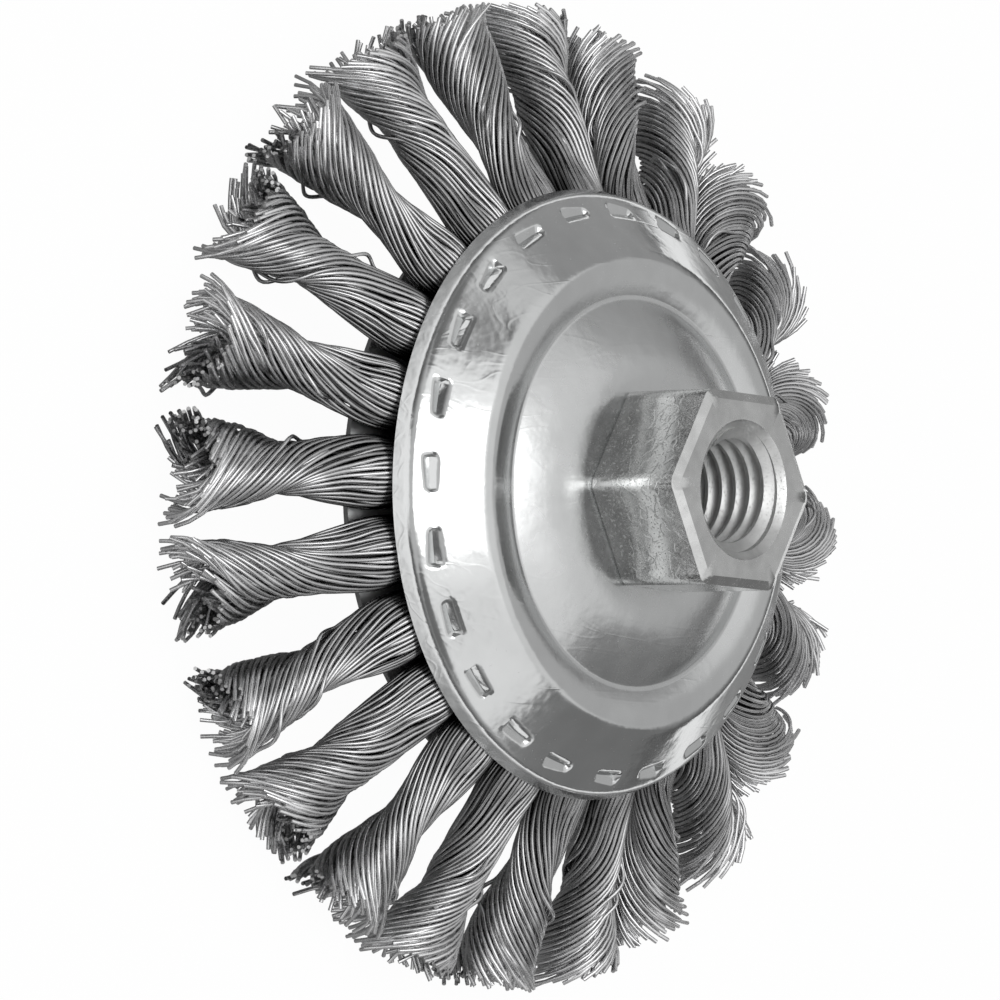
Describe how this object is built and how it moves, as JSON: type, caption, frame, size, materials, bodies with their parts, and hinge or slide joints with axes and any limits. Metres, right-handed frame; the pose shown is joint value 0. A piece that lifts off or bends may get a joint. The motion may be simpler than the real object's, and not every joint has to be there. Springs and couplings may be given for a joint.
{
  "type": "knotted conical wire brush",
  "caption": "Knotted conical wire brush for an angle grinder: twisted steel-wire knots clamped between pressed plates, with a threaded hex spindle nut.",
  "frame": {"origin": "on the brush's axis, level with the lowest wire tips that it stands on", "axes": "+Z along the axis towards the spindle side; -Y through one corner of the hexagon and the middle of one knot"},
  "size_m": [0.115, 0.115, 0.0396],
  "materials": {
    "nut_steel": "zinc-plated turned and milled steel, satin, lightly scratched",
    "dish_steel": "zinc-plated pressed sheet steel, bright satin",
    "carrier_steel": "plain punched steel plate",
    "cover_steel": "zinc-plated pressed sheet steel, satin",
    "wire_steel": "hard-drawn steel wire, dark grey with bright lines"
  },
  "bodies": {
    "root": {"spindle_nut": "nut_steel", "cover_dish": "dish_steel", "knot_carrier": "carrier_steel", "back_cover": "cover_steel", "knot_01": "wire_steel", "knot_02": "wire_steel", "knot_03": "wire_steel", "knot_04": "wire_steel", "knot_05": "wire_steel", "knot_06": "wire_steel", "knot_07": "wire_steel", "knot_08": "wire_steel", "knot_09": "wire_steel", "knot_10": "wire_steel", "knot_11": "wire_steel", "knot_12": "wire_steel", "knot_13": "wire_steel", "knot_14": "wire_steel", "knot_15": "wire_steel", "knot_16": "wire_steel", "knot_17": "wire_steel", "knot_18": "wire_steel", "knot_19": "wire_steel", "knot_20": "wire_steel", "knot_21": "wire_steel", "knot_22": "wire_steel", "knot_23": "wire_steel", "knot_24": "wire_steel"}
  },
  "joints": []
}
